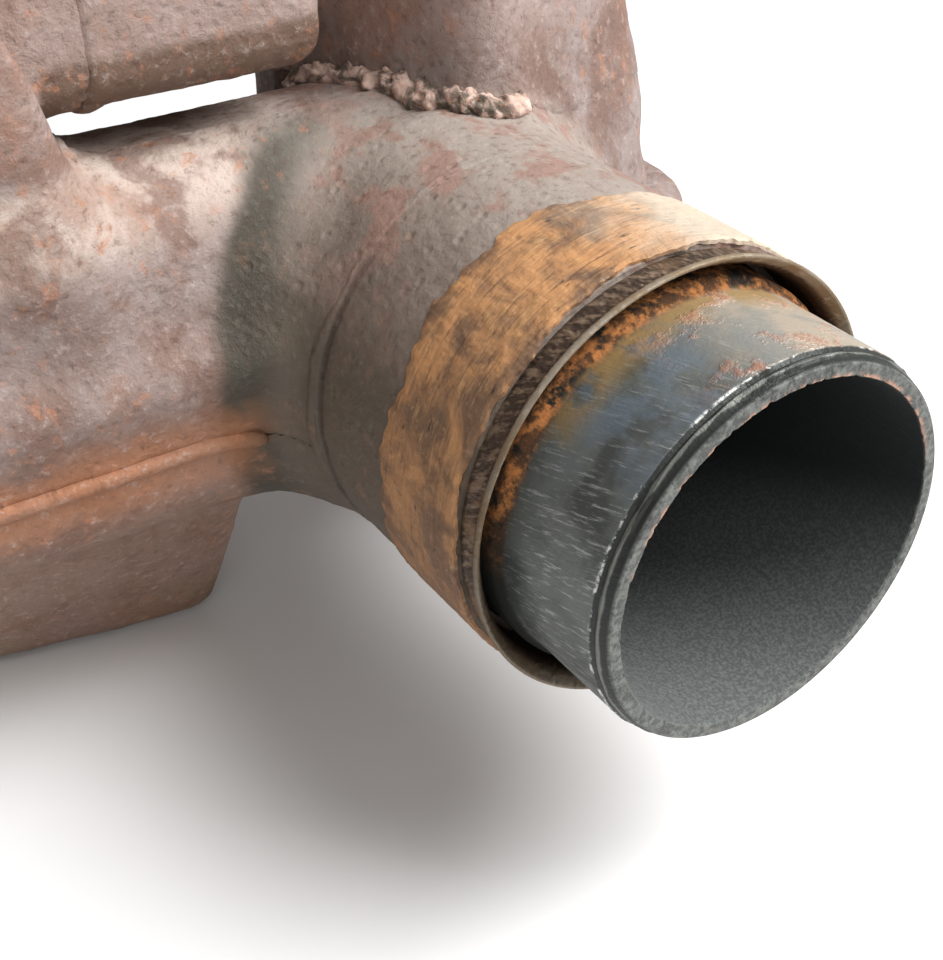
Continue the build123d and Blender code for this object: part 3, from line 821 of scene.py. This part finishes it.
def weld_crust(name):
    """Crusty weld: pale pink crests over dark cindery hollows."""
    s = Surface(name, 0.8)
    lumps = s.noise(260, 5, 0.65, warp=0.6)
    fine = s.noise(900, 4, 0.7)
    colour = s.mix(s.step(lumps, 0.38, 0.56), srgb(84, 74, 64), srgb(192, 164, 150))
    colour = s.mix(s.both(s.step(lumps, 0.56, 0.68), 0.8), colour, srgb(226, 202, 188))
    colour = s.mix(s.both(s.step(fine, 0.55, 0.7), 0.6), colour, srgb(190, 130, 92))
    s.colour(colour)
    s.bump((lumps, 0.7), (fine, 0.25))
    return s.material


def weld_bead(name):
    """Plain rusted weld bead with fine ripples."""
    s = Surface(name, 0.72)
    fine = s.noise(650, 5, 0.7)
    patch = s.noise(110, 4, 0.6)
    colour = s.mix(s.step(patch, 0.4, 0.62), srgb(122, 98, 84), srgb(150, 122, 106))
    colour = s.mix(s.both(s.step(fine, 0.54, 0.7), 0.6), colour, srgb(178, 140, 116))
    colour = s.mix(s.both(s.step(fine, 0.45, 0.3), 0.7), colour, srgb(70, 52, 44))
    s.colour(colour)
    s.bump((s.noise(220, 3, 0.6), 0.5), (fine, 0.3))
    return s.material


def plate_rust(name):
    """Machined plate gone brown, with sharper orange bloom and dark and pale specks."""
    s = Surface(name, 0.6, 0.15)
    patch = s.noise(55, 5, 0.6, warp=0.5)
    fine = s.noise(500, 5, 0.7)
    colour = s.mix(s.step(patch, 0.4, 0.6), srgb(118, 94, 82), srgb(148, 112, 88))
    colour = s.mix(s.both(s.step(s.noise(170, 5, 0.65), 0.55, 0.68), 0.8), colour, srgb(172, 112, 68))
    colour = s.mix(s.both(s.step(fine, 0.46, 0.32), 0.7), colour, srgb(66, 52, 46))
    colour = s.mix(s.both(s.step(fine, 0.55, 0.7), 0.45), colour, srgb(184, 164, 150))
    s.colour(colour)
    s.roughness(s.math("ADD", s.both(fine, 0.4), 0.38))
    s.bump((patch, 0.25), (fine, 0.3))
    return s.material


def gasket_sheet(name):
    """Sooted gasket sheet with dull metal showing."""
    s = Surface(name, 0.55, 0.4)
    patch = s.noise(60, 5, 0.6)
    fine = s.noise(700, 4, 0.7)
    colour = s.mix(s.step(patch, 0.4, 0.6), srgb(70, 68, 66), srgb(112, 106, 100))
    colour = s.mix(s.both(s.step(fine, 0.54, 0.7), 0.6), colour, srgb(150, 128, 110))
    s.colour(colour)
    s.bump((fine, 0.15),)
    return s.material


def ring_iron(name):
    """Dark polished sealing ring."""
    s = Surface(name, 0.35, 0.8)
    fine = s.noise(1, 3, 0.6, s.stretch((2500, 60, 60)))
    s.colour(s.mix(s.step(fine, 0.4, 0.6), srgb(60, 58, 56), srgb(104, 100, 94)))
    s.bump((fine, 0.05),)
    return s.material


def pale_floor(name):
    """Plain pale table top."""
    s = Surface(name, 0.55)
    s.colour(s.mix(s.noise(3, 2, 0.5), (0.80, 0.80, 0.80, 1), (0.84, 0.84, 0.835, 1)))
    return s.material


# ------------------------------------------------------------------ pieces


def finish_piece(obj, body, slot, *nodes):
    """Rides a piece on its body and hides the CAD nodes it stands for."""
    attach(obj, body)
    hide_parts(*nodes)
    return obj


def roughen(obj, size, depth, name):
    """Pushes a piece's surface in and out by a cloudy pattern; sizes in millimetres."""
    texture = bpy.data.textures.new(f"{obj.name}_{name}", "CLOUDS")
    texture.noise_scale = size * MM
    texture.noise_depth = 3
    modifier = obj.modifiers.new(name, "DISPLACE")
    modifier.texture = texture
    modifier.texture_coords = "LOCAL"
    modifier.strength = depth * MM
    modifier.mid_level = 0.5


RUST = body_rust("body_rust")
BEAD = weld_bead("weld_bead")
CRUST = weld_crust("weld_crust")

HOUSING_LOW = np.array([PORT_X - 2, LEFT_Y - 5, FOOT_Z - 2])
HOUSING_HIGH = np.array([COLLAR_X + 2, flange_high[1] + 1, middle_high[2] + 3])
STEP = 1.1
SHELL_MARGIN_LOW = np.array([6, 12, 24])
SHELL_MARGIN_HIGH = np.array([14, 8, 12])
UNDULATION = ((7.0, 0.5, "undulation"), (1.9, 0.3, "pitting"))


def field_piece(node, field, material, slot, low, high, step=STEP):
    """A housing piece meshed from its field, in place of its CAD node."""
    points, faces = surface(field, low, high, step)
    obj = mesh_object(f"{node}_skin", points, faces, material)
    return finish_piece(obj, "housing", slot, node)


for node in ("upper_shell", "lower_shell", "left_runner", "middle_runner", "right_runner"):
    low, high = node_box(node)
    low = np.maximum(low - SHELL_MARGIN_LOW, HOUSING_LOW)
    high = np.minimum(high + SHELL_MARGIN_HIGH, HOUSING_HIGH)
    shell = field_piece(node, housing_piece(node), RUST, "shell_rust", low, high)
    for size, depth, name in UNDULATION:
        roughen(shell, size, depth, name)

seam = field_piece(
    "shell_seam_weld", seam_bead, RUST, "weld_bead", seam_low - np.array([4, 5, 8]),
    seam_high + np.array([4, 7, 22]), STEP * 0.8,
)
roughen(seam, 3.0, 0.35, "lumps")
field_piece(
    "right_base_weld", crusty_bead, CRUST, "weld_bead", (CRUST_X[0] - 2, CRUST_Y[0] - 0.5, 14),
    (CRUST_X[1] + 2, CRUST_Y[1] + 3, CRUST_TOP + 0.5), STEP * 0.45,
)
field_piece(
    "left_base_weld", smooth_bead("collector", "left", 1.1, (REAR_X + 2, -70, 0), (FRONT_X - 12, -50, 60)),
    RUST, "weld_bead", (REAR_X, -72, 8), (FRONT_X - 8, -46, 54), STEP * 0.7,
)
field_piece(
    "middle_joint_weld", smooth_bead("middle", "left", 0.8, (-90, -84, 48), (FRONT_X + 2, -48, 80)),
    RUST, "weld_bead", (-92, -86, 46), (FRONT_X + 2, -46, 82), STEP * 0.7,
)
for name in ("left", "middle", "right"):
    low, high = node_box(f"{name}_port_weld")
    port = field_piece(
        f"{name}_port_weld", port_bead(name), BEAD, "weld_bead", low - np.array([1, 12, 8]),
        high + np.array([4, 8, 6]), STEP * 0.75,
    )
    roughen(port, 1.8, 0.3, "ripples")

# ------------------------------------------------------------------ the turned outlet pieces

SEGMENTS = 720


def lower_left(a):
    """1 on the lower left of the outlet, 0 on its top and right; a is the angle from straight up."""
    return smooth_step(0.1, 0.9, np.cos(a - math.radians(235)))


def follow_body(x, r, a):
    """How far, radially, a turned point stands off the blended housing surface."""
    out = 0 * r
    for _ in range(3):
        reach = r + out
        _, whole = all_fields(x, reach * np.sin(a), reach * np.cos(a))
        out = out - whole
    return np.clip(out, 0, 4)


def neck_wobble(x, r, a):
    """The neck's outside follows the housing's blend, with a crease at its root."""
    outer = (r > NECK_R - 0.3) & (x < SLEEVE_REAR + 12)
    crease = np.exp(-((x - COLLAR_X - 1.2) / 0.7) ** 2) * lower_left(a)
    return 0 * x, outer * (follow_body(x, r, a) - 0.4 * crease)


neck = turned(
    "neck_pipe_turned",
    outline(
        (NECK_FRONT, NECK_COUNTERBORE), (NECK_FRONT, NECK_R), (COLLAR_X, NECK_R), (COLLAR_X, NECK_BORE),
        (COLLAR_X, NECK_STOP_R), (NECK_STOP_X, NECK_STOP_R), (NECK_STOP_X, NECK_BORE),
        (RETAINER_REAR, NECK_BORE), (RETAINER_REAR, NECK_COUNTERBORE), step=0.8,
    ),
    RUST, SEGMENTS, neck_wobble,
)
finish_piece(neck, "housing", "neck_steel", "neck_pipe")
for size, depth, name in UNDULATION:
    roughen(neck, size, depth, name)


def root_wobble(x, r, a):
    """The root bead lies flush on top and shows as a slim ridge at the lower left."""
    drift = wave(a, (0.5, 5, 0.3), (0.3, 13, 2.0))
    return drift, follow_body(x + drift, 0 * r + NECK_R, a) + 0.3 * lower_left(a) - 0.25


root = turned(
    "neck_root_bead",
    outline(
        (COLLAR_X - 2.2, NECK_R - 0.6), (COLLAR_X - 2.0, NECK_R + 0.05), (COLLAR_X - 1.0, NECK_R + 0.3),
        (COLLAR_X + 0.2, NECK_R + 0.05), (COLLAR_X + 0.4, NECK_R - 0.6), step=0.4,
    ),
    RUST, SEGMENTS, root_wobble,
)
finish_piece(root, "housing", "weld_bead", "neck_root_weld")
roughen(root, 1.6, 0.25, "ripples")


def sleeve_wobble(x, r, a):
    """Ragged rear edge, torn front edge and slightly uneven thickness."""
    outer = r > NECK_R + 0.3
    rear = smooth_step(SLEEVE_EDGE + 4, SLEEVE_EDGE, x)
    front = smooth_step(NECK_FRONT - 2.5, NECK_FRONT, x)
    ragged = wave(a, (1.0, 4, 0.2), (0.6, 11, 1.1), (0.4, 29, 2.7), (0.22, 67, 0.5))
    torn = wave(a, (0.4, 7, 0.8), (0.3, 17, 1.9), (0.16, 41, 0.1), (0.07, 113, 2.2))
    flakes = np.maximum(wave(a + 0.05 * x, (0.1, 19, 0.4), (0.1, 47, 1.3), (0.08, 97, 0.2)), 0)
    return rear * ragged + front * torn, outer * (flakes * front + 0.08 * wave(a, (1, 6, 0.5)))


sleeve = turned(
    "neck_sleeve_band",
    outline(
        (NECK_FRONT, NECK_R + 0.01), (NECK_FRONT, SLEEVE_R - 0.25), (NECK_FRONT - 0.6, SLEEVE_R),
        (SLEEVE_EDGE + 1.5, SLEEVE_R - 0.1), (SLEEVE_EDGE, SLEEVE_R - 0.45), (SLEEVE_EDGE, NECK_R + 0.01),
        step=0.5,
    ),
    sleeve_rust("sleeve_rust"), SEGMENTS * 2, sleeve_wobble,
)
finish_piece(sleeve, "housing", "sleeve_rust", "neck_sleeve")
roughen(sleeve, 2.2, 0.3, "scale")
roughen(sleeve, 0.8, 0.18, "grain")


def lip_wobble(x, r, a):
    """The flared lip is slightly bent, and its flank carries short ridges of scale."""
    lip = smooth_step(-3, 0, x)
    flank = (r > 33.2) * smooth_step(-0.9, -1.6, x) * smooth_step(-5.6, -4.6, x)
    scale = wave(a - 0.12 * x, (0.09, 53, 0.3), (0.08, 89, 1.4), (0.08, 143, 0.9), (0.06, 211, 0.1))
    dx = lip * wave(a, (0.12, 2, 0.6), (0.06, 5, 2.2))
    dr = lip * wave(a, (0.08, 3, 1.0), (0.04, 7, 0.2))
    return dx, dr + flank * (np.abs(scale) - 0.06)


lip = turned(
    "retainer_ring_lip",
    outline(
        (RETAINER_REAR, 33.58), (-6.2, 33.58), (-5.2, 33.9), (-3.6, 33.75), (-2.4, 33.7), (-1.6, 34.35),
        (-1.0, 34.85),
        (-0.35, 35.0), (0.0, 34.85), (0.02, 34.62), (-0.15, 34.42), (-0.8, 33.9), (-2.2, 32.9), (-3.4, 32.6),
        (-11.0, 32.6), (-11.0, 31.55), (RETAINER_REAR, 31.55), step=0.45,
    ),
    lip_metal("lip_metal"), SEGMENTS * 2, lip_wobble, smooth_angle=60,
)
finish_piece(lip, "housing", "lip_steel", "retainer_ring")
roughen(lip, 1.2, 0.1, "grain")


def spigot_wobble(x, r, a):
    """A worn mouth: wavy ridge in the bevel, chipped inner edge and slightly burred outer edge."""
    ridge = np.exp(-((x - BEVEL_RIDGE_X) / 0.35) ** 2) * (r > 29)
    chipped = (x > MOUTH_X - 0.3) * (r < BORE_R + 0.5)
    chips = np.maximum(wave(a, (0.08, 23, 0.4), (0.08, 57, 1.0), (0.06, 111, 0.3)), 0)
    burr = np.exp(-((x - BEVEL_END_X) / 0.3) ** 2) * (r > 29.5)
    dx = ridge * wave(a, (0.22, 5, 0.4), (0.14, 13, 1.2)) - chipped * chips
    dr = ridge * wave(a, (0.05, 9, 0.2), (0.04, 31, 0.7)) + burr * wave(a, (0.03, 41, 0.2), (0.03, 17, 0.9))
    return dx, dr + chipped * chips * 0.5


groove_points = []
for ring_node in ("seal_ring_front", "seal_ring_rear"):
    ring_low, ring_high = node_box(ring_node)
    groove_points += [
        (ring_high[0], GUIDE_R), (ring_high[0], GROOVE_R), (ring_low[0], GROOVE_R), (ring_low[0], GUIDE_R)
    ]

spigot = turned(
    "spigot_tube_turned",
    outline(
        (SPIGOT_REAR, BORE_R), (MOUTH_X - 0.25, BORE_R), (MOUTH_X, BORE_R + 0.25), (MOUTH_X, 28.75),
        (MOUTH_X - 0.35, 29.15), (MOUTH_X - 1.0, 29.22), (MOUTH_X - 1.45, 29.5), (BEVEL_RIDGE_X, 29.6),
        (MOUTH_X - 1.85, 29.55), (MOUTH_X - 2.2, 29.5), (MOUTH_X - 2.7, 29.85), (BEVEL_END_X, SPIGOT_R),
        (MOUTH_X - 3.1, SPIGOT_R), (-0.1, SPIGOT_R), (-0.7, 30.15), (-1.3, 30.6), (-2.1, GUIDE_R - 0.1),
        (-2.6, GUIDE_R),
        *groove_points, (SPIGOT_REAR + 1, GUIDE_R), (SPIGOT_REAR, GUIDE_R - 1), step=0.5,
    ),
    spigot_steel("spigot_steel"), SEGMENTS, spigot_wobble, smooth_angle=35,
)
finish_piece(spigot, "spigot", "spigot_steel", "spigot_tube")
roughen(spigot, 3.0, 0.05, "wear")

# ------------------------------------------------------------------ CAD nodes that keep their shape

iron = ring_iron("ring_iron")
for node, material in (
    ("head_flange", plate_rust("plate_rust")),
    ("head_gasket", gasket_sheet("gasket_sheet")),
    ("seal_ring_front", iron),
    ("seal_ring_rear", iron),
):
    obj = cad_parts[node]
    obj.data.materials.clear()
    obj.data.materials.append(material)

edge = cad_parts["head_flange"].modifiers.new("eased edges", "BEVEL")
edge.width = 0.7 * MM
edge.segments = 3
edge.limit_method = "ANGLE"
edge.angle_limit = math.radians(50)

# ------------------------------------------------------------------ stage, light and camera

FLOOR_SIDE = 6.0
FLOOR_GAP = 0.0001

floor_mesh = bpy.data.meshes.new("table_top")
corners = [(FLOOR_SIDE * a, FLOOR_SIDE * b, 0) for a, b in ((-1, -1), (1, -1), (1, 1), (-1, 1))]
floor_mesh.from_pydata(corners, [], [(0, 1, 2, 3)])
floor = bpy.data.objects.new("table_top", floor_mesh)
floor.location.z = cad_low[2] - FLOOR_GAP
bpy.context.scene.collection.objects.link(floor)
floor_mesh.materials.append(pale_floor("pale_floor"))


def softbox(name, place, aim, size, power):
    """A square area light at a place, aimed at a point."""
    light = bpy.data.lights.new(name, "AREA")
    light.shape = "SQUARE"
    light.size = size
    light.energy = power
    obj = bpy.data.objects.new(name, light)
    obj.location = place
    obj.rotation_euler = (Vector(aim) - Vector(place)).to_track_quat("-Z", "Y").to_euler()
    bpy.context.scene.collection.objects.link(obj)


centre = Vector((-0.05, -0.01, 0))
softbox("key", centre + Vector((0.40, 0.45, 0.80)), centre, size=0.68, power=20)
softbox("front", centre + Vector((0.75, -0.45, 0.40)), centre, size=0.6, power=1.6)

world = bpy.data.worlds.new("studio")
world.use_nodes = True
world.node_tree.nodes["Background"].inputs["Color"].default_value = (1.0, 1.0, 1.0, 1)
world.node_tree.nodes["Background"].inputs["Strength"].default_value = 0.34
bpy.context.scene.world = world
bpy.context.scene.view_settings.view_transform = "Standard"

# The photo's viewing angle: the eye is placed from the spigot's mouth and looks along a fixed line.
EYE_FROM_MOUTH = (0.1079, -0.1213, 0.1222)
SIGHT = Vector((-0.6835, 0.4547, -0.5711))

mouth = Vector((spigot_high[0] * MM, 0, 0))
camera_data = bpy.data.cameras.new("camera")
camera_data.lens = 55.9
camera_data.sensor_width = 36
camera_data.clip_start = 0.01
camera = bpy.data.objects.new("camera", camera_data)
camera.location = mouth + Vector(EYE_FROM_MOUTH)
camera.rotation_euler = SIGHT.to_track_quat("-Z", "Y").to_euler()
bpy.context.scene.collection.objects.link(camera)
bpy.context.scene.camera = camera
